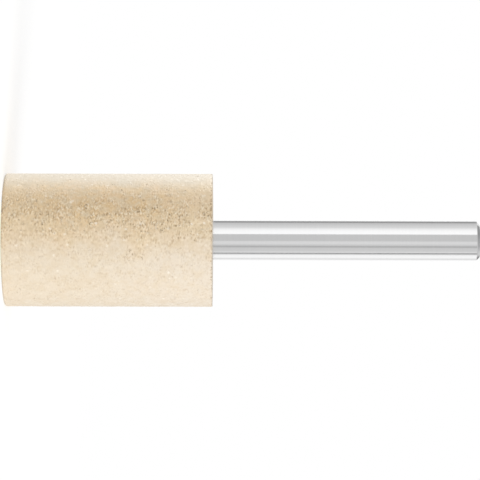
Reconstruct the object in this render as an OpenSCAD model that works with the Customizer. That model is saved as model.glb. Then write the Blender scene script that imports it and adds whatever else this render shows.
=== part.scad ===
// Mounted point: a cylindrical bonded-abrasive head, cemented on a ground steel spindle.
// It stands on the flat free end of its head, with the shank pointing up along +Z.
// The origin is the centre of that flat face. All lengths are in millimetres.

/* [Head] */
// Diameter of the abrasive head
head_d = 20; // [14:0.5:40]
// Length of the abrasive head
head_len = 31.1; // [25:0.1:60]
// Radius of the turned edge at the free end
free_edge_r = 0.4; // [0.2:0.1:3]
// Radius of the broken edge at the shank end
back_edge_r = 0.15; // [0.05:0.05:1]

/* [Shank] */
// Diameter of the shank, where a collet grips it
shank_d = 6; // [5:0.5:8]
// Length of the shank that stands out of the head
shank_len = 40; // [20:1:80]
// Size of the 45 degree chamfer on the free end of the shank
shank_chamfer = 0.45; // [0.3:0.05:1.5]
// Radius that softens both edges of that chamfer
shank_edge_r = 0.15; // [0.05:0.05:0.3]

/* [Tang inside the head] */
// Length of the spindle inside the head
tang_len = 20; // [14:0.5:23]
// Length of the plain neck just below the face of the head
neck_len = 1.5; // [0.5:0.1:3]
// Depth of the neck below the surface of the shank
neck_depth = 0.45; // [0.1:0.05:0.8]
// Depth of the knurl's crests below the surface of the shank
knurl_step = 0.1; // [0.05:0.05:0.3]
// Number of teeth in the straight knurl
knurl_teeth = 24; // [14:1:30]
// Width of the flat crest of a tooth
knurl_crest_w = 0.2; // [0.1:0.05:0.4]
// Depth of the knurl, from the crests to the roots
knurl_depth = 0.3; // [0.1:0.05:0.6]
// Number of ring grooves turned across the knurl
ring_grooves = 2; // [0:1:3]
// Width of each ring groove
ring_groove_w = 1.4; // [0.5:0.1:2]
// Depth of each ring groove below the surface of the shank
ring_groove_depth = 0.6; // [0.35:0.05:1]
// Size of the 45 degree chamfer on the buried end
tang_chamfer = 0.6; // [0.2:0.1:1]

/* [Bore and cement] */
// Thickness of the cement between the shank's diameter and the bore
cement_t = 0.2; // [0.05:0.05:0.5]
// Depth of the cement under the buried end, before the drill point
cement_under = 0.5; // [0.2:0.1:1.5]
// Point angle of the drill that made the blind bore
drill_point_angle = 118; // [90:2:140]

/* [Hidden] */
$fn = 96;
// Distance that a cutting shape runs past the surface it cuts
overcut = 1;

head_r = head_d / 2;
shank_r = shank_d / 2;
neck_r = shank_r - neck_depth;
knurl_r = shank_r - knurl_step;
knurl_root_r = knurl_r - knurl_depth;
ring_groove_r = shank_r - ring_groove_depth;
bore_r = shank_r + cement_t;
blank_r = shank_r + overcut;

// Heights above the free end of the head
face_z = head_len;
shank_end_z = face_z + shank_len;
tang_end_z = face_z - tang_len;
knurl_top_z = face_z - neck_len;
knurl_run_out_z = knurl_top_z + neck_len / 4;
neck_middle_z = face_z - neck_len / 2;
bore_floor_z = tang_end_z - cement_under;
drill_tip_z = bore_floor_z - bore_r / tan(drill_point_angle / 2);
ring_groove_pitch = (knurl_top_z - tang_end_z) / (ring_grooves + 1);

head_colour = "#d9c3a0";
steel_colour = "#b9babc";
cement_colour = "#8d8577";

// What comes off an outer corner of a half section when the corner is rounded to radius r.
// The corner is at the origin, and the material lies inwards and above it.
module corner_waste(r) {
    difference() {
        translate([-r, 0]) square(r);
        translate([-r, r]) circle(r);
    }
}

// Half section of the head: a rectangle with its two outer corners rounded.
module head_section() {
    difference() {
        square([head_r, head_len]);
        translate([head_r, 0]) corner_waste(free_edge_r);
        translate([head_r, head_len]) mirror([0, 1]) corner_waste(back_edge_r);
    }
}

// Space that the drill leaves: a straight wall and a pointed floor.
module blind_bore() {
    rotate_extrude()
        polygon([
            [0, drill_tip_z],
            [bore_r, bore_floor_z],
            [bore_r, face_z],
            [0, face_z]
        ]);
}

module abrasive_head() {
    color(head_colour)
        difference() {
            rotate_extrude() head_section();
            blind_bore();
        }
}

// What comes off the lower edge of the shank's chamfer when it is softened,
// with the origin at the middle of the chamfer.
module chamfer_edge_waste() {
    edge = [shank_chamfer / 2, -shank_chamfer / 2];
    tangent = shank_edge_r * tan(45 / 2);
    down = [0, -tangent];
    along_chamfer = tangent * [-cos(45), sin(45)];
    difference() {
        polygon([edge, edge + along_chamfer, edge + down]);
        translate(edge + down - [shank_edge_r, 0]) circle(shank_edge_r);
    }
}

// Half section of the turned blank of the spindle: the chamfered shank, and under it the tang,
// which is left oversize for the knurl up to the middle of the neck.
module spindle_section() {
    difference() {
        polygon([
            [0, tang_end_z],
            [knurl_r - tang_chamfer, tang_end_z],
            [blank_r, tang_end_z + tang_chamfer + blank_r - knurl_r],
            [blank_r, neck_middle_z],
            [shank_r, neck_middle_z],
            [shank_r, shank_end_z - shank_chamfer],
            [shank_r - shank_chamfer, shank_end_z],
            [0, shank_end_z]
        ]);
        translate([shank_r - shank_chamfer / 2, shank_end_z - shank_chamfer / 2]) {
            chamfer_edge_waste();
            mirror([1, -1]) chamfer_edge_waste();
        }
    }
}

// Outline of the straight knurl: V grooves between narrow flat crests.
module knurl_outline() {
    pitch = 360 / knurl_teeth;
    crest_half = asin(knurl_crest_w / 2 / knurl_r);
    tooth = [[knurl_r, -crest_half], [knurl_r, crest_half], [knurl_root_r, pitch / 2]];
    polygon([
        for (i = [0 : knurl_teeth - 1])
            for (corner = tooth)
                let (a = i * pitch + corner[1])
                    [corner[0] * cos(a), corner[0] * sin(a)]
    ]);
}

// What the knurl takes off the oversize tang, from below its end to where it runs out in the neck.
module knurl_waste() {
    bottom_z = tang_end_z - overcut;
    translate([0, 0, bottom_z])
        linear_extrude(height = knurl_run_out_z - bottom_z)
            difference() {
                circle(blank_r + overcut);
                knurl_outline();
            }
}

// Groove turned right round the spindle between two heights, down to radius r.
module turned_groove(from_z, to_z, r) {
    rotate_extrude()
        polygon([
            [r, from_z],
            [blank_r + overcut, from_z],
            [blank_r + overcut, to_z],
            [r, to_z]
        ]);
}

module spindle_body() {
    difference() {
        rotate_extrude() spindle_section();
        knurl_waste();
        turned_groove(knurl_top_z, face_z, neck_r);
        for (i = [1 : 1 : ring_grooves])
            let (z = tang_end_z + i * ring_groove_pitch)
                turned_groove(z - ring_groove_w / 2, z + ring_groove_w / 2, ring_groove_r);
    }
}

module spindle() {
    color(steel_colour) spindle_body();
}

// Cured cement: it fills the bore round the tang, level with the face of the head.
module cement() {
    color(cement_colour)
        difference() {
            blind_bore();
            spindle_body();
        }
}

abrasive_head();
spindle();
cement();
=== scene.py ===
# Looks of the mounted point: a bonded-abrasive head on a ground steel spindle, with the floor,
# the soft studio light and the camera for the photograph's view.
import math

import bpy
from mathutils import Matrix, Vector, noise


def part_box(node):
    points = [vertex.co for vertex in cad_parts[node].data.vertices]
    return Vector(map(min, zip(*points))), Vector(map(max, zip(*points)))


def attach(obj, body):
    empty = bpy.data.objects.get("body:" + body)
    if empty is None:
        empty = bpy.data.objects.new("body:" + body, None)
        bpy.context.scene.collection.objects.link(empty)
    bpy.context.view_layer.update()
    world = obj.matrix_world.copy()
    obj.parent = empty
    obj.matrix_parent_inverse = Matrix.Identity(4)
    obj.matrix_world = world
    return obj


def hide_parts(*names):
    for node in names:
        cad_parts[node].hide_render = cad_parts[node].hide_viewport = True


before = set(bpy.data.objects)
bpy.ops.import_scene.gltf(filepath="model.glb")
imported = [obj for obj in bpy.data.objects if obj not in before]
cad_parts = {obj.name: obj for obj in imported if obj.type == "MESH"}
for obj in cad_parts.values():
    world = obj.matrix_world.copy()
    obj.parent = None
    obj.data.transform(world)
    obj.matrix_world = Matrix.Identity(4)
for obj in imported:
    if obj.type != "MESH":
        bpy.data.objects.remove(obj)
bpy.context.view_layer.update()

MM = 0.001

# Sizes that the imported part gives
HEAD_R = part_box("abrasive_head")[1].x
HEAD_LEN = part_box("abrasive_head")[1].z
BORE_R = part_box("cement")[1].x
DRILL_TIP_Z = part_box("cement")[0].z

# Edges of the head and the point of its bore, as in the part's source
FREE_EDGE_R = 0.4 * MM
BACK_EDGE_R = 0.15 * MM
DRILL_POINT_ANGLE = math.radians(118)

# Grid of the head's surface: rings nearer to the axis have half or a quarter of the segments
HEAD_SEGMENTS = 396
HALF_SEGMENTS_R = 0.55 * HEAD_R
QUARTER_SEGMENTS_R = 0.27 * HEAD_R
SIDE_STEP = 0.16 * MM
FACE_STEP = 0.3 * MM
EDGE_STEPS = 6
SHARP_ANGLE = math.radians(60)

# Relief of the head's surface: how far it lies below the turned size
RELIEF_MEAN = 0.03 * MM
RELIEF_WAVES = 0.01 * MM
RELIEF_GRAINS = 0.035 * MM
PIT_DEPTH = 0.14 * MM
CHIP_DEPTH = 0.16 * MM
CHIP_REACH = 0.5 * MM

# Noise behind that relief: how fine it is, and shifts that keep grains and chips apart
WAVES_PER_MM = 0.9
WAVE_FADE = 1.0
WAVE_STEP_UP = 2.0
WAVE_OCTAVES = 3
BUMPS_PER_MM = 2.4
BUMPS_SHIFT = Vector((7.3, 1.9, 4.4))
CHIPS_PER_MM = 1.7
CHIPS_SHIFT = Vector((2.2, 8.1, 0.6))

# Pits in that relief, one to a cell: the share of cells that have one, its radius in cells,
# and the stretch that gives each cell a draw of its own
PITS_PER_MM = 1.35
PIT_SHARE = 0.4
PIT_RADIUS = 0.36
PIT_DRAW_STRETCH = 3.7

# Relief that is too fine for the grid, in millimetres
FINE_TALL = 0.10
HAIR_TALL = 0.02
GRAIN_TALL = 0.06
PORE_DEEP = 0.10
HOLE_DEEP = 0.08

# One flank is worn smoother: the X in millimetres where that starts and ends, and the grain left there
WORN_FROM = -8.6
WORN_TO = -4.2
WORN_LEAST = 0.18

# Grains lie drawn out round the head, as turning leaves them, and fibres lie round it and along it
TURNED = (0.8, 0.8, 1.3)
FIBRES_ROUND = (2.2, 2.2, 0.45)
FIBRES_ALONG = (0.5, 0.5, 2.6)
FIBRES_APART = (31.0, 0.0, 31.0)

# Colours of the head's skin
TAN = (0.755, 0.565, 0.335, 1)
# Painted shade: the deeper tan of a stripe along the head, between the lamps' light
SHADE_STRIPE_TAN = (0.655, 0.47, 0.258, 1)
PALE_TAN = (0.78, 0.63, 0.427, 1)
# Cream is the tan with painted light: the side that the key lamp lights, paler and less saturated
CREAM = (0.745, 0.647, 0.51, 1)
PALE_CREAM = (0.75, 0.662, 0.545, 1)
# Painted sheen: the pale colour laid on the flank that the rim lamps graze
PAINTED_SHEEN = (0.65, 0.572, 0.445, 1)
PINK = (0.73, 0.559, 0.392, 1)
CLOUDY = (0.66, 0.524, 0.343, 1)
# Painted shade in the hollows of the fine grain
CAVITY_SHADE = (0.455, 0.312, 0.165, 1)
# Painted light on the tips of the fine grain
TIP_HIGHLIGHT = (0.88, 0.757, 0.568, 1)
# Painted shade in the pores
PORE_SHADE = (0.40, 0.262, 0.128, 1)
PALE_GRAIN = (0.88, 0.766, 0.581, 1)
FLECK = (0.93, 0.85, 0.73, 1)
FIBRE = (0.792, 0.686, 0.537, 1)
# Painted shade in holes where grains have fallen out or been lost
HOLE_SHADE = (0.32, 0.207, 0.10, 1)
# Painted shade along the edge on the shank's side, thinning out over the face
EDGE_SHADE = (0.44, 0.36, 0.27, 1)

# Where those colours change on the head, in millimetres. A pair says where a change starts and ends.
BELT_Z = 14.5
BELT_TO_ENDS = (2.0, 18.0)
# Stripe of painted shade
STRIPE_X = -5.4
STRIPE_OUT_TO_IN = (2.8, 0.6)
# Where the tan turns to the cream of the painted key light, and how far that line wanders
PAINTED_KEY_LIGHT_X = (-1.3, 6.7)
PAINTED_KEY_LIGHT_WANDER = 6.0
CREAM_Z = (6.0, 31.0)
# Where the painted sheen lies, and how far its edge wanders
PAINTED_SHEEN_X = (-6.2, -8.9)
PAINTED_SHEEN_Y = (7.5, -1.5)
PAINTED_SHEEN_WANDER = 2.0

# Torn edge on the shank's side, with painted shade along it, in millimetres: how far in it reaches, along
# the side and over the face
TEAR_REACH = 0.5
EDGE_SHADE_ALONG = (0.02, 0.30)
EDGE_SHADE_INSIDE = (3.0, 0.3)
LOST_ALONG = (-0.14, 0.08)
LOST_INSIDE = (0.4, 0.2)

# Marks of the skin along a millimetre
DRIFT_PER_MM = 0.25
PINK_PER_MM = 0.33
CLOUDS_PER_MM = 0.9
CLUSTERS_PER_MM = 0.6
FINE_PER_MM = 3.2
GRAINS_PER_MM = 2.6
FLECKS_PER_MM = 1.25
FIBRES_PER_MM = 1.6
HOLES_PER_MM = 1.35
TEARS_PER_MM = 2.0
EDGE_SHADE_PER_MM = 0.5
LOST_PER_MM = 2.2

# Levels of the noise, or of a cell's draw, at which a mark starts and is full
PINK_LEVELS = (0.4, 0.66)
CLOUD_LEVELS = (0.62, 0.32)
CLUSTER_LEVELS = (0.36, 0.62)
CAVITY_LEVELS = (0.46, 0.26)
TIP_LEVELS = (0.54, 0.76)
PORE_DRAWS = (0.40, 0.30)
GRAIN_DRAWS = (0.50, 0.60)
FLECK_DRAWS = (0.68, 0.8)
FIBRE_LEVELS = (0.64, 0.74)
HOLE_DRAWS = (0.15, 0.06)
EDGE_SHADE_LEVELS = (0.4, 0.6)
LOST_LEVELS = (0.54, 0.62)

# Distance from the middle of its cell, in cells, at which a mark starts and is full
GRAIN_EDGE = (0.46, 0.16)
FLECK_EDGE = (0.36, 0.10)
HOLE_EDGE = (0.26, 0.08)

# How much of a mark's colour shows where the mark is full
PINK_SHARE = 0.35
CAVITY_SHARE = 0.5
TIP_SHARE = 0.55
PORE_SHARE = 0.55
GRAIN_SHARE = 0.75
FLECK_SHARE = 0.8
FIBRE_SHARE = 0.3
HOLE_SHARE = 0.6

# How strong a mark is at two ends: on tan and on cream, at the belt and at the head's ends,
# outside and inside a cluster, in weak and strong patches of the painted edge shade, and on the face and at
# its edge
PATCHES_TAN_TO_CREAM = (1.0, 0.3)
OPEN_TAN_TO_CREAM = (1.3, 0.42)
HOLES_TAN_TO_CREAM = (1.0, 0.4)
LOST_TAN_TO_CREAM = (0.95, 0.7)
STRIPE_BELT_TO_END = (1.0, 0.35)
OPEN_IN_CLUSTER = (0.3, 1.08)
EDGE_SHADE_IN_PATCH = (0.12, 0.42)
EDGE_SHADE_FACE_TO_EDGE = (0.35, 1.0)

# Finish of the skin: how rough its cavities and its tips are, its gloss, and its nap of fibres
SKIN_ROUGHNESS = (0.62, 0.50)
SKIN_GLOSS = 0.5
NAP = 0.1
NAP_ROUGHNESS = 0.5

# Noise levels between which roughness follows the grain
ROUGH_LEVELS = (0.3, 0.7)

# Packed grains: how fine and how far their outlines waver
WAVER_SCALE = 4.0
WAVER_REACH = (0.5, 0.5, 0.5)
NOISE_MIDDLE = (0.5, 0.5, 0.5)

# Ground steel: its two greys, the rings left by the wheel, and its roughness
DARK_STEEL = (0.755, 0.755, 0.76, 1)
LIGHT_STEEL = (0.80, 0.80, 0.80, 1)
WHEEL_RINGS = (0.25, 0.25, 6.0)
RING_DEEP = 0.002 * MM
RING_STRENGTH = 0.15
STEEL_ROUGHNESS = (0.09, 0.15)

# Cement: its greys, clouds and sand along a millimetre, and its relief
DARK_CEMENT = (0.30, 0.265, 0.21, 1)
LIGHT_CEMENT = (0.44, 0.40, 0.33, 1)
SAND = (0.60, 0.55, 0.47, 1)
CEMENT_CLOUDS_PER_MM = 5.0
SAND_PER_MM = 7.0
SAND_DRAWS = (0.55, 0.75)
SAND_EDGE = (0.5, 0.2)
SAND_SHARE = 0.6
SAND_TALL = 0.02 * MM
SAND_STRENGTH = 0.6
CEMENT_ROUGHNESS = 0.6

# The photograph's view: the axis lies level, with the shank to the right
PHOTO_SIDE_PX = 480
PHOTO_PX_PER_MM = 6.66
PHOTO_HEAD_FACE_PX = 212.75
CAMERA_DISTANCE = 0.44
CAMERA_ABOVE_AXIS = 0.08 * MM
CAMERA_ROLL = math.radians(0.16)
SENSOR_MM = 36

# Lamps: angles in degrees round the part, from 0 at the camera up to the photograph's top,
# sides and distances in metres, and powers in watts
LAMP_DISTANCE = 0.97
LAMP_HEIGHT = 0.26
KEY_ANGLE = -45
KEY_SIDE = 0.6
KEY_POWER = 5.0
RIM_ANGLE = 115
RIM_SIDE = 0.9
RIM_POWER = 6.5
GLEAM_ANGLE = 130
GLEAM_SIDE = 0.6
GLEAM_POWER = 7.6

# World and floor: their glow as light on the part, and how it looks; the floor is pure white further out
WHITE = (1, 1, 1, 1)
SEEN_WHITE = 1.0
AMBIENT_GLOW = 0.71
FLOOR_GREY = (0.8, 0.8, 0.8, 1)
FLOOR_HALF = 3.0
FLOOR_GLOW = 0.21
FLOOR_LIFT = 0.38
FLOOR_WHITE_FROM = 0.03
FLOOR_WHITE_AT = 0.25

# Light tent that the steel mirrors: a lower and an upper wall, a roof, and a base that lies on the floor
TENT_RADIUS = 0.9
TENT_LOW = -0.02
TENT_MID = 0.36
TENT_HIGH = 0.7
TENT_STEP = 3.0
BASE_INNER = 0.02
BASE_Z = 0.2 * MM

# Panels of the lower wall and of the base, for the shank's side: from and to angle, and the glow at each
TENT_PANELS = (
    (-180, -140, 1.10, 1.10),
    (-140, -125, 0.90, 0.90),
    (-125, -112, 1.07, 1.15),
    (-112, -89, 1.22, 1.14),
    (-89, -82, 0.78, 0.78),
    (-82, -75, 0.36, 0.36),
    (-75, -64, 0.95, 0.82),
    (-64, -40, 0.77, 0.73),
    (-40, -29, 0.55, 0.55),
    (-29, -20, 0.78, 0.76),
    (-20, -3, 0.88, 0.86),
    (-3, 37, 0.70, 0.70),
    (38, 62, 1.28, 1.19),
    (62, 80, 1.19, 0.94),
    (80, 104, 0.87, 0.76),
    (104, 126, 0.74, 0.66),
    (126, 155, 0.38, 0.38),
    (155, 180, 1.10, 1.10),
)

# Panels of the upper wall, for the chamfer of the shank's end
TENT_TOPS = (
    (-180, -110, 0.33, 0.33),
    (-110, 110, 0.80, 0.80),
    (110, 180, 0.95, 0.95),
)

# Roof, from the photograph's top to its bottom: X as a share of the tent's radius, and the glow there
ROOF_GLOW = (
    (-1.0, 0.45),
    (-0.55, 0.38),
    (-0.25, 0.35),
    (0.0, 0.46),
    (0.2, 0.5),
    (0.4, 0.74),
    (0.7, 0.6),
    (1.0, 0.4),
)


# Node helpers


def add(tree, kind, inputs=None, **settings):
    """Add a node with its settings and inputs: an input that is a socket is linked, a value is set."""
    made = tree.nodes.new(kind)
    for name, value in settings.items():
        setattr(made, name, value)
    for name, value in (inputs or {}).items():
        if isinstance(value, bpy.types.NodeSocket):
            tree.links.new(value, made.inputs[name])
        else:
            made.inputs[name].default_value = value
    return made


def math_node(tree, operation, a, b=0.0):
    return add(tree, "ShaderNodeMath", {0: a, 1: b}, operation=operation).outputs[0]


def times(tree, a, b):
    return math_node(tree, "MULTIPLY", a, b)


def plus(tree, a, b):
    return math_node(tree, "ADD", a, b)


def minus(tree, a, b):
    return math_node(tree, "SUBTRACT", a, b)


def off_from(tree, value, middle):
    """How far a value is from a middle, either way."""
    return math_node(tree, "ABSOLUTE", minus(tree, value, middle))


def ramp(tree, value, start, full):
    """0 up to the start, 1 from the full level on, and smooth between them."""
    made = add(tree, "ShaderNodeMapRange", {"Value": value, "From Min": start, "From Max": full},
               interpolation_type="SMOOTHSTEP")
    return made.outputs["Result"]


def between(tree, value, at_zero, at_one):
    """A value from 0 to 1, spread between two ends."""
    made = add(tree, "ShaderNodeMapRange", {"Value": value, "To Min": at_zero, "To Max": at_one})
    return made.outputs["Result"]


def roughness_by(tree, grain, low, high):
    """Roughness that follows the grain."""
    start, full = ROUGH_LEVELS
    made = add(tree, "ShaderNodeMapRange", {
        "Value": grain, "From Min": start, "From Max": full, "To Min": low, "To Max": high})
    return made.outputs["Result"]


def mix_colour(tree, factor, a, b):
    return add(tree, "ShaderNodeMix", {0: factor, 6: a, 7: b}, data_type="RGBA").outputs[2]


def material(name):
    """A new material with an empty node tree and its output node."""
    made = bpy.data.materials.new(name)
    made.use_nodes = True
    made.node_tree.nodes.clear()
    return made, made.node_tree, add(made.node_tree, "ShaderNodeOutputMaterial")


def place_in_mm(tree):
    """Where a point lies on the part, in millimetres."""
    place = add(tree, "ShaderNodeTexCoord").outputs["Object"]
    return add(tree, "ShaderNodeVectorMath", {0: place, "Scale": 1 / MM}, operation="SCALE").outputs[0]


def stretched(tree, place, factors):
    return add(tree, "ShaderNodeVectorMath", {0: place, 1: factors}, operation="MULTIPLY").outputs[0]


def noise_of(tree, place, per_mm, detail=2.0, rough=0.5):
    made = add(tree, "ShaderNodeTexNoise", {
        "Vector": place, "Scale": per_mm, "Detail": detail, "Roughness": rough})
    return made.outputs["Fac"]


def patches(tree, place, per_mm, levels, detail=1.0, rough=0.5):
    """Soft patches: 1 where the noise is past its full level, and 0 where it hasn't reached the start."""
    return ramp(tree, noise_of(tree, place, per_mm, detail, rough), *levels)


# Effect that more than one material uses


def grains_effect():
    """Packed grains in cells of wavy outline: two draws for each cell, and how far away its middle is."""
    tree = bpy.data.node_groups.new("packed_grains", "ShaderNodeTree")
    sockets = tree.interface
    sockets.new_socket("Place", in_out="INPUT", socket_type="NodeSocketVector")
    sockets.new_socket("Per mm", in_out="INPUT", socket_type="NodeSocketFloat")
    for label in ("Draw", "Second draw", "Away"):
        sockets.new_socket(label, in_out="OUTPUT", socket_type="NodeSocketFloat")
    given = add(tree, "NodeGroupInput").outputs
    result = add(tree, "NodeGroupOutput").inputs
    waver = add(tree, "ShaderNodeTexNoise", {"Vector": given["Place"], "Scale": WAVER_SCALE, "Detail": 1.0})
    shift = add(tree, "ShaderNodeVectorMath", {0: waver.outputs["Color"], 1: NOISE_MIDDLE},
                operation="SUBTRACT").outputs[0]
    bent = add(tree, "ShaderNodeVectorMath", {0: shift, 1: WAVER_REACH, 2: given["Place"]},
               operation="MULTIPLY_ADD").outputs[0]
    cells = add(tree, "ShaderNodeTexVoronoi", {"Vector": bent, "Scale": given["Per mm"]}).outputs
    draws = add(tree, "ShaderNodeSeparateColor", {0: cells["Color"]}).outputs
    tree.links.new(draws["Red"], result["Draw"])
    tree.links.new(draws["Green"], result["Second draw"])
    tree.links.new(cells["Distance"], result["Away"])
    return tree


def grains_of(tree, grains, place, per_mm):
    return add(tree, "ShaderNodeGroup", {"Place": place, "Per mm": per_mm}, node_tree=grains).outputs


# Bonded abrasive: cream abrasive in a fibrous bond


def skin_base(tree, place, where):
    """Tan skin that turns to a paler, less saturated cream on the side that the key lamp lights, which is
    painted light, and how far it has turned.
    """
    across, along = where["X"], where["Z"]
    # The side that the key lamp lights is painted paler and less saturated
    drift = noise_of(tree, place, DRIFT_PER_MM, detail=1.0)
    painted_key_light = ramp(tree, plus(tree, across, times(tree, drift, PAINTED_KEY_LIGHT_WANDER)), *PAINTED_KEY_LIGHT_X)

    # Both are paler towards one end or the other, and the tan is deepest along a stripe: painted shade
    # where the key and rim lamps light the least
    to_ends = ramp(tree, off_from(tree, along, BELT_Z), *BELT_TO_ENDS)
    tan = mix_colour(tree, to_ends, TAN, PALE_TAN)
    stripe = ramp(tree, off_from(tree, across, STRIPE_X), *STRIPE_OUT_TO_IN)
    stripe = times(tree, stripe, between(tree, to_ends, *STRIPE_BELT_TO_END))
    tan = mix_colour(tree, stripe, tan, SHADE_STRIPE_TAN)
    cream = mix_colour(tree, ramp(tree, along, *CREAM_Z), CREAM, PALE_CREAM)
    colour = mix_colour(tree, painted_key_light, tan, cream)

    # Pink and cloudy patches, and a pale painted sheen along the other flank, where the rim lamps graze it
    tan_share = between(tree, painted_key_light, *PATCHES_TAN_TO_CREAM)
    pink = times(tree, patches(tree, place, PINK_PER_MM, PINK_LEVELS), tan_share)
    colour = mix_colour(tree, times(tree, pink, PINK_SHARE), colour, PINK)
    cloud = patches(tree, place, CLOUDS_PER_MM, CLOUD_LEVELS, detail=3.0, rough=0.6)
    colour = mix_colour(tree, times(tree, cloud, tan_share), colour, CLOUDY)
    ragged = plus(tree, across, times(tree, drift, PAINTED_SHEEN_WANDER))
    painted_sheen = times(tree, ramp(tree, ragged, *PAINTED_SHEEN_X), ramp(tree, where["Y"], *PAINTED_SHEEN_Y))
    return mix_colour(tree, painted_sheen, colour, PAINTED_SHEEN), painted_key_light


def open_clusters(tree, place, across, painted_key_light):
    """How open the skin is, and how strong the painted shade and light of its grain are: most in clusters
    on the tan side, and least at the two flanks.
    """
    cluster = patches(tree, place, CLUSTERS_PER_MM, CLUSTER_LEVELS, detail=2.0, rough=0.6)
    worn = between(tree, ramp(tree, across, WORN_FROM, WORN_TO), WORN_LEAST, 1.0)
    # The tan side, where the light grazes, gets the strongest painted shade and light of the grain
    bare = times(tree, between(tree, painted_key_light, *OPEN_TAN_TO_CREAM), worn)
    return times(tree, between(tree, cluster, *OPEN_IN_CLUSTER), bare)


def fibres(tree, place):
    """Short fibres, lying round the head and along it."""
    lying_round = stretched(tree, place, FIBRES_ROUND)
    lying_along = add(tree, "ShaderNodeVectorMath", {0: place, 1: FIBRES_ALONG, 2: FIBRES_APART},
                      operation="MULTIPLY_ADD").outputs[0]
    return math_node(tree, "MAXIMUM",
                     patches(tree, lying_round, FIBRES_PER_MM, FIBRE_LEVELS),
                     patches(tree, lying_along, FIBRES_PER_MM, FIBRE_LEVELS))


def torn_edge(tree, colour, place, along, painted_key_light):
    """Edge on the shank's side: painted shade that thins out over the face, and specks of painted shade
    where grains are lost.
    """
    level = stretched(tree, place, (1.0, 1.0, 0.0))
    from_axis = add(tree, "ShaderNodeVectorMath", {0: level}, operation="LENGTH").outputs["Value"]
    inside = minus(tree, HEAD_R / MM, from_axis)
    tear = times(tree, noise_of(tree, place, TEARS_PER_MM), TEAR_REACH)
    past_face = plus(tree, minus(tree, along, HEAD_LEN / MM), tear)

    # Painted shade along the edge, in patches, thinning out over the face
    patchy = between(tree, patches(tree, place, EDGE_SHADE_PER_MM, EDGE_SHADE_LEVELS), *EDGE_SHADE_IN_PATCH)
    edge_shade = times(tree, ramp(tree, past_face, *EDGE_SHADE_ALONG), patchy)
    edge_shade = times(tree, edge_shade, between(tree, ramp(tree, inside, *EDGE_SHADE_INSIDE), *EDGE_SHADE_FACE_TO_EDGE))
    colour = mix_colour(tree, edge_shade, colour, EDGE_SHADE)

    # Specks of painted shade where grains are lost
    lost = patches(tree, place, LOST_PER_MM, LOST_LEVELS, detail=2.0)
    lost = times(tree, lost, between(tree, painted_key_light, *LOST_TAN_TO_CREAM))
    rim = times(tree, ramp(tree, past_face, *LOST_ALONG), ramp(tree, inside, *LOST_INSIDE))
    return mix_colour(tree, times(tree, lost, rim), colour, HOLE_SHADE)


def bonded_abrasive(grains):
    """Mottled and matt, with clusters of pores and of grains that stand out."""
    made, tree, output = material("bonded_abrasive")
    place = place_in_mm(tree)
    turned = stretched(tree, place, TURNED)
    where = add(tree, "ShaderNodeSeparateXYZ", {0: place}).outputs
    colour, painted_key_light = skin_base(tree, place, where)
    open_skin = open_clusters(tree, place, where["X"], painted_key_light)

    # Fine grain: darker cavities and paler tips, painted shade and light of its relief
    fine = noise_of(tree, turned, FINE_PER_MM, detail=0.0)
    cavity = times(tree, ramp(tree, fine, *CAVITY_LEVELS), open_skin)
    colour = mix_colour(tree, times(tree, cavity, CAVITY_SHARE), colour, CAVITY_SHADE)
    tip = times(tree, ramp(tree, fine, *TIP_LEVELS), open_skin)
    colour = mix_colour(tree, times(tree, tip, TIP_SHARE), colour, TIP_HIGHLIGHT)

    # Pores, dark with painted shade in their depth, and pale grains that stand out, each of its own
    # strength
    cells = grains_of(tree, grains, turned, GRAINS_PER_MM)
    core = times(tree, ramp(tree, cells["Away"], *GRAIN_EDGE), open_skin)
    core = times(tree, core, cells["Second draw"])
    pore = times(tree, ramp(tree, cells["Draw"], *PORE_DRAWS), core)
    grain = times(tree, ramp(tree, cells["Draw"], *GRAIN_DRAWS), core)
    colour = mix_colour(tree, times(tree, pore, PORE_SHARE), colour, PORE_SHADE)
    colour = mix_colour(tree, times(tree, grain, GRAIN_SHARE), colour, PALE_GRAIN)

    # Pale flecks of the bond, sparse and larger than the grains
    flecks = grains_of(tree, grains, place, FLECKS_PER_MM)
    fleck = times(tree, ramp(tree, flecks["Away"], *FLECK_EDGE), ramp(tree, flecks["Draw"], *FLECK_DRAWS))
    fleck = times(tree, fleck, flecks["Second draw"])
    colour = mix_colour(tree, times(tree, fleck, FLECK_SHARE), colour, FLECK)

    hair = fibres(tree, place)
    colour = mix_colour(tree, times(tree, hair, FIBRE_SHARE), colour, FIBRE)

    # Dark specks of painted shade where whole grains have fallen out
    holes = grains_of(tree, grains, place, HOLES_PER_MM)
    hole = times(tree, ramp(tree, holes["Away"], *HOLE_EDGE), ramp(tree, holes["Draw"], *HOLE_DRAWS))
    hole = times(tree, hole, between(tree, painted_key_light, *HOLES_TAN_TO_CREAM))
    colour = mix_colour(tree, times(tree, hole, HOLE_SHARE), colour, HOLE_SHADE)

    colour = torn_edge(tree, colour, place, where["Z"], painted_key_light)

    # Relief too fine for the mesh, in millimetres
    height = times(tree, times(tree, fine, open_skin), FINE_TALL)
    for shape, tall in ((hair, HAIR_TALL), (grain, GRAIN_TALL), (pore, -PORE_DEEP), (hole, -HOLE_DEEP)):
        height = plus(tree, height, times(tree, shape, tall))
    bump = add(tree, "ShaderNodeBump", {"Strength": 1.0, "Distance": MM, "Height": height})
    shader = add(tree, "ShaderNodeBsdfPrincipled", {
        "Base Color": colour, "Roughness": roughness_by(tree, fine, *SKIN_ROUGHNESS),
        "Specular IOR Level": SKIN_GLOSS, "Sheen Weight": NAP, "Sheen Roughness": NAP_ROUGHNESS,
        "Normal": bump.outputs[0]})
    tree.links.new(shader.outputs[0], output.inputs["Surface"])
    return made


# Steel and cement


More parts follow.
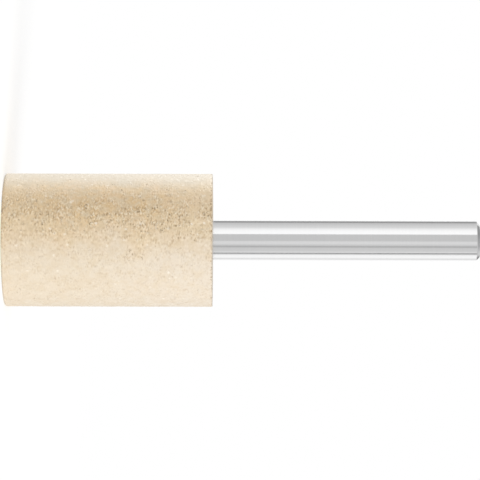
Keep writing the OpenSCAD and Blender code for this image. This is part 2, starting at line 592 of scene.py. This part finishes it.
def ground_steel():
    """Centreless-ground steel: bright, with faint rings left by the wheel."""
    made, tree, output = material("ground_steel")
    squeezed = stretched(tree, place_in_mm(tree), WHEEL_RINGS)
    rings = noise_of(tree, squeezed, 1.0, detail=3.0, rough=0.6)
    colour = mix_colour(tree, rings, DARK_STEEL, LIGHT_STEEL)
    bump = add(tree, "ShaderNodeBump", {"Strength": RING_STRENGTH, "Distance": RING_DEEP, "Height": rings})
    shader = add(tree, "ShaderNodeBsdfPrincipled", {
        "Base Color": colour, "Metallic": 1.0, "Roughness": roughness_by(tree, rings, *STEEL_ROUGHNESS),
        "Normal": bump.outputs[0]})
    tree.links.new(shader.outputs[0], output.inputs["Surface"])
    return made


def cured_cement(grains):
    """Grey cement, matt and cloudy, with fine pale sand in it."""
    made, tree, output = material("cured_cement")
    place = place_in_mm(tree)
    cloud = noise_of(tree, place, CEMENT_CLOUDS_PER_MM, detail=3.0)
    colour = mix_colour(tree, cloud, DARK_CEMENT, LIGHT_CEMENT)
    cells = grains_of(tree, grains, place, SAND_PER_MM)
    sand = times(tree, ramp(tree, cells["Draw"], *SAND_DRAWS), ramp(tree, cells["Away"], *SAND_EDGE))
    colour = mix_colour(tree, times(tree, sand, SAND_SHARE), colour, SAND)
    height = plus(tree, cloud, sand)
    bump = add(tree, "ShaderNodeBump", {"Strength": SAND_STRENGTH, "Distance": SAND_TALL, "Height": height})
    shader = add(tree, "ShaderNodeBsdfPrincipled", {
        "Base Color": colour, "Roughness": CEMENT_ROUGHNESS, "Normal": bump.outputs[0]})
    tree.links.new(shader.outputs[0], output.inputs["Surface"])
    return made


# The abrasive head


def head_rings():
    """Rings of the head's surface, from the free end to the drill point.

    Each has a radius, a height, the way out (radial and up), and whether it has relief."""
    rings = []

    def straight(start, end, step, way):
        count = max(1, round(math.dist(start, end) / step))
        for i in range(count):
            t = i / count
            radius = start[0] + t * (end[0] - start[0])
            height = start[1] + t * (end[1] - start[1])
            rings.append((radius, height, *way, True))

    def rounded(centre_r, centre_z, radius, turn_from, turn_to):
        for i in range(EDGE_STEPS):
            a = math.radians(turn_from + (turn_to - turn_from) * i / EDGE_STEPS)
            out_r, out_z = math.cos(a), math.sin(a)
            rings.append((centre_r + radius * out_r, centre_z + radius * out_z, out_r, out_z, True))

    free_r = HEAD_R - FREE_EDGE_R
    back_r = HEAD_R - BACK_EDGE_R
    back_z = HEAD_LEN - BACK_EDGE_R
    bore_floor_z = DRILL_TIP_Z + BORE_R / math.tan(DRILL_POINT_ANGLE / 2)
    straight((0.0, 0.0), (free_r, 0.0), FACE_STEP, (0, -1))
    rounded(free_r, FREE_EDGE_R, FREE_EDGE_R, -90, 0)
    straight((HEAD_R, FREE_EDGE_R), (HEAD_R, back_z), SIDE_STEP, (1, 0))
    rounded(back_r, back_z, BACK_EDGE_R, 0, 90)
    straight((back_r, HEAD_LEN), (BORE_R + FACE_STEP, HEAD_LEN), FACE_STEP, (0, 1))
    rings.append((BORE_R, HEAD_LEN, 0, 1, False))
    rings.append((BORE_R, bore_floor_z, -1, 0, False))
    rings.append((0.0, DRILL_TIP_Z, 0, 1, False))
    return rings


def relief_at(point):
    """Depth of the worn skin below the turned size at a point of the surface."""
    p = point / MM
    waves = noise.fractal(p * WAVES_PER_MM, WAVE_FADE, WAVE_STEP_UP, WAVE_OCTAVES)
    turned = Vector((p.x * TURNED[0], p.y * TURNED[1], p.z * TURNED[2]))
    bumps = noise.noise(turned * BUMPS_PER_MM + BUMPS_SHIFT)
    t = min(1.0, max(0.0, (p.x - WORN_FROM) / (WORN_TO - WORN_FROM)))
    worn = WORN_LEAST + (1 - WORN_LEAST) * t * t * (3 - 2 * t)
    depth = RELIEF_MEAN - RELIEF_WAVES * waves - RELIEF_GRAINS * bumps * worn

    # Pits in some of the cells; a draw lies between -1 and 1
    distances, cells = noise.voronoi(p * PITS_PER_MM)
    if noise.cell(cells[0] * PIT_DRAW_STRETCH) < PIT_SHARE * 2 - 1:
        depth += PIT_DEPTH * worn * max(0.0, 1 - distances[0] / PIT_RADIUS)

    # Chips along the edge on the shank's side
    from_back_edge = math.hypot(HEAD_R - math.hypot(point.x, point.y), HEAD_LEN - point.z)
    if from_back_edge < CHIP_REACH:
        chip = max(0.0, noise.noise(p * CHIPS_PER_MM + CHIPS_SHIFT))
        depth += CHIP_DEPTH * chip * (1 - from_back_edge / CHIP_REACH)
    return max(0.0, depth)


def segments_at(radius):
    """Segments of a ring: fewer towards the middle, where the same count would crowd."""
    if radius == 0.0:
        return 1
    if radius > HALF_SEGMENTS_R:
        return HEAD_SEGMENTS
    return HEAD_SEGMENTS // 2 if radius > QUARTER_SEGMENTS_R else HEAD_SEGMENTS // 4


def band(first, count_first, second, count_second):
    """Faces between two rings of vertices. One may be a single point or have half the segments."""
    faces = []
    if count_first == 1:
        return [(first, second + (i + 1) % count_second, second + i) for i in range(count_second)]
    if count_second == 1:
        return [(first + i, first + (i + 1) % count_first, second) for i in range(count_first)]
    if count_first == count_second:
        for i in range(count_first):
            j = (i + 1) % count_first
            faces.append((first + i, first + j, second + j, second + i))
    elif count_first > count_second:
        for i in range(count_second):
            a, b, c = first + 2 * i, first + 2 * i + 1, first + (2 * i + 2) % count_first
            d, e = second + i, second + (i + 1) % count_second
            faces += [(a, b, d), (b, e, d), (b, c, e)]
    else:
        for i in range(count_first):
            a, b, c = second + 2 * i, second + 2 * i + 1, second + (2 * i + 2) % count_second
            d, e = first + i, first + (i + 1) % count_first
            faces += [(d, b, a), (d, e, b), (e, c, b)]
    return faces


def abrasive_head(skin):
    """The head as one closed mesh, with relief on its outside and a plain bore."""
    verts, faces = [], []
    last = None
    for radius, height, out_r, out_z, has_relief in head_rings():
        start, count = len(verts), segments_at(radius)
        for i in range(count):
            a = 2 * math.pi * i / count
            point = Vector((radius * math.cos(a), radius * math.sin(a), height))
            if has_relief:
                way = Vector((out_r * math.cos(a), out_r * math.sin(a), out_z))
                point -= way * relief_at(point)
            verts.append(point)
        if last:
            faces += band(*last, start, count)
        last = (start, count)
    mesh = bpy.data.meshes.new("abrasive_head_skin")
    mesh.from_pydata(verts, [], faces)
    mesh.shade_smooth()
    mesh.set_sharp_from_angle(angle=SHARP_ANGLE)
    mesh.materials.append(skin)
    head = bpy.data.objects.new("abrasive_head_skin", mesh)
    bpy.context.scene.collection.objects.link(head)
    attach(head, "root")
    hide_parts("abrasive_head")
    return head


def finish_node(name, skin):
    """Give a node that keeps its CAD shape its own finish."""
    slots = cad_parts[name].data.materials
    slots.clear()
    slots.append(skin)


# Studio


def around(angle, distance, height):
    """A place round the part: angle 0 is towards the camera, and it grows to the photograph's top."""
    a = math.radians(angle)
    return Vector((-math.sin(a) * distance, -math.cos(a) * distance, height))


def photo_camera():
    """Camera with the axis level in the picture: its right is +Z and its top is -X."""
    data = bpy.data.cameras.new("photo_camera")
    picture_width = PHOTO_SIDE_PX / PHOTO_PX_PER_MM * MM
    data.sensor_width = SENSOR_MM
    data.lens = SENSOR_MM * CAMERA_DISTANCE / picture_width
    camera = bpy.data.objects.new("photo_camera", data)
    centre_z = HEAD_LEN + (PHOTO_SIDE_PX / 2 - PHOTO_HEAD_FACE_PX) / PHOTO_PX_PER_MM * MM
    stand = Matrix.Translation((-CAMERA_ABOVE_AXIS, -CAMERA_DISTANCE, centre_z))
    right, top, back = (0, 0, 1), (-1, 0, 0), (0, -1, 0)
    turn = Matrix((right, top, back)).transposed().to_4x4()
    camera.matrix_world = stand @ turn @ Matrix.Rotation(CAMERA_ROLL, 4, "Z")
    bpy.context.scene.collection.objects.link(camera)
    bpy.context.scene.camera = camera


def soft_lamp(name, angle, side, power, gleams_on=None):
    """A square soft box aimed at the head. One that gleams lights only the piece it gleams on."""
    data = bpy.data.lights.new(name, "AREA")
    data.shape = "SQUARE"
    data.size = side
    data.energy = power
    lamp = bpy.data.objects.new(name, data)
    lamp.location = around(angle, LAMP_DISTANCE, LAMP_HEIGHT)
    aim = Vector((0, 0, HEAD_LEN / 2)) - lamp.location
    lamp.rotation_mode = "QUATERNION"
    lamp.rotation_quaternion = aim.to_track_quat("-Z", "Y")
    lamp.visible_camera = False
    lamp.visible_glossy = gleams_on is not None
    if gleams_on:
        lit = bpy.data.collections.new(name + "_lit")
        lit.objects.link(gleams_on)
        lamp.light_linking.receiver_collection = lit
    bpy.context.scene.collection.objects.link(lamp)
    return lamp


def glow_material():
    """Glow of the tent's cloth, as bright as the panel's own glow value says."""
    made, tree, output = material("tent_glow")
    glow = add(tree, "ShaderNodeAttribute", attribute_name="glow").outputs["Fac"]
    light = add(tree, "ShaderNodeEmission", {"Color": WHITE, "Strength": glow})
    tree.links.new(light.outputs[0], output.inputs["Surface"])
    made.cycles.emission_sampling = "NONE"
    return made


def glowing_strip(name, edges, glow, cloth):
    """A reflection card between two edges: gloss mirrors it, and nothing else is lit or shaded by it.

    The edges come as pairs of points, and each pair has its own glow."""
    verts = [point for pair in edges for point in pair]
    faces = [(2 * i, 2 * i + 2, 2 * i + 3, 2 * i + 1) for i in range(len(edges) - 1)]
    mesh = bpy.data.meshes.new(name)
    mesh.from_pydata(verts, [], faces)
    values = [value for value in glow for _ in range(2)]
    mesh.attributes.new("glow", "FLOAT", "POINT").data.foreach_set("value", values)
    mesh.materials.append(cloth)
    card = bpy.data.objects.new(name, mesh)
    card.visible_camera = False
    card.visible_diffuse = False
    card.visible_shadow = False
    bpy.context.scene.collection.objects.link(card)


def tent_panel(name, panel, low, high, cloth):
    """A panel between two edges, each given by its distance from the axis and its height."""
    start, end, glow_start, glow_end = panel
    steps = max(1, round((end - start) / TENT_STEP))
    edges, glow = [], []
    for i in range(steps + 1):
        t = i / steps
        angle = start + t * (end - start)
        edges.append((around(angle, *low), around(angle, *high)))
        glow.append(glow_start + t * (glow_end - glow_start))
    glowing_strip(name, edges, glow, cloth)


def light_tent():
    cloth = glow_material()
    foot, waist, top = (TENT_RADIUS, TENT_LOW), (TENT_RADIUS, TENT_MID), (TENT_RADIUS, TENT_HIGH)
    for i, panel in enumerate(TENT_PANELS):
        tent_panel(f"tent_panel_{i:02d}", panel, foot, waist, cloth)
        tent_panel(f"tent_base_{i:02d}", panel, (BASE_INNER, BASE_Z), (TENT_RADIUS, BASE_Z), cloth)
    for i, panel in enumerate(TENT_TOPS):
        tent_panel(f"tent_top_{i:02d}", panel, waist, top, cloth)
    edges = []
    for share, _ in ROOF_GLOW:
        x = share * TENT_RADIUS
        edges.append(((x, -TENT_RADIUS, TENT_HIGH), (x, TENT_RADIUS, TENT_HIGH)))
    glowing_strip("tent_roof", edges, [glow for _, glow in ROOF_GLOW], cloth)


def seen_rays(tree):
    """1 for what the camera sees, directly, mirrored or through glass, and 0 for light on the part."""
    light = add(tree, "ShaderNodeLightPath").outputs
    mirrored = math_node(tree, "MAXIMUM", light["Is Glossy Ray"], light["Is Transmission Ray"])
    return math_node(tree, "MAXIMUM", light["Is Camera Ray"], mirrored)


def white_floor():
    """Plain white floor that keeps the part's shadow and turns to pure white further away."""
    made, tree, output = material("white_floor")
    seen = seen_rays(tree)
    lift = between(tree, seen, FLOOR_GLOW, FLOOR_LIFT)
    matt = add(tree, "ShaderNodeBsdfDiffuse", {"Color": FLOOR_GREY}).outputs[0]
    glow = add(tree, "ShaderNodeEmission", {"Color": WHITE, "Strength": lift}).outputs[0]
    near = add(tree, "ShaderNodeAddShader", {0: matt, 1: glow}).outputs[0]
    white = add(tree, "ShaderNodeEmission", {"Color": WHITE, "Strength": SEEN_WHITE}).outputs[0]
    place = add(tree, "ShaderNodeTexCoord").outputs["Object"]
    away = add(tree, "ShaderNodeVectorMath", {0: place}, operation="LENGTH").outputs["Value"]
    far = times(tree, ramp(tree, away, FLOOR_WHITE_FROM, FLOOR_WHITE_AT), seen)
    surface = add(tree, "ShaderNodeMixShader", {0: far, 1: near, 2: white}).outputs[0]
    tree.links.new(surface, output.inputs["Surface"])
    made.cycles.emission_sampling = "NONE"
    return made


def floor():
    corners = [(x * FLOOR_HALF, y * FLOOR_HALF, 0) for x, y in ((-1, -1), (1, -1), (1, 1), (-1, 1))]
    mesh = bpy.data.meshes.new("floor")
    mesh.from_pydata(corners, [], [(0, 1, 2, 3)])
    mesh.materials.append(white_floor())
    plane = bpy.data.objects.new("floor", mesh)
    bpy.context.scene.collection.objects.link(plane)


def surroundings():
    """White world: full white where it is seen or mirrored, and softer as light on the part."""
    world = bpy.data.worlds.new("studio")
    world.use_nodes = True
    tree = world.node_tree
    tree.nodes.clear()
    strength = between(tree, seen_rays(tree), AMBIENT_GLOW, SEEN_WHITE)
    background = add(tree, "ShaderNodeBackground", {"Color": WHITE, "Strength": strength})
    output = add(tree, "ShaderNodeOutputWorld")
    tree.links.new(background.outputs[0], output.inputs["Surface"])
    bpy.context.scene.world = world


photo_camera()
surroundings()
floor()
light_tent()
grains = grains_effect()
head = abrasive_head(bonded_abrasive(grains))
soft_lamp("key_lamp", KEY_ANGLE, KEY_SIDE, KEY_POWER)
soft_lamp("rim_lamp", RIM_ANGLE, RIM_SIDE, RIM_POWER, gleams_on=head)
soft_lamp("rim_gleam", GLEAM_ANGLE, GLEAM_SIDE, GLEAM_POWER, gleams_on=head).visible_diffuse = False
finish_node("spindle", ground_steel())
finish_node("cement", cured_cement(grains))

bpy.context.scene.view_settings.view_transform = "Standard"
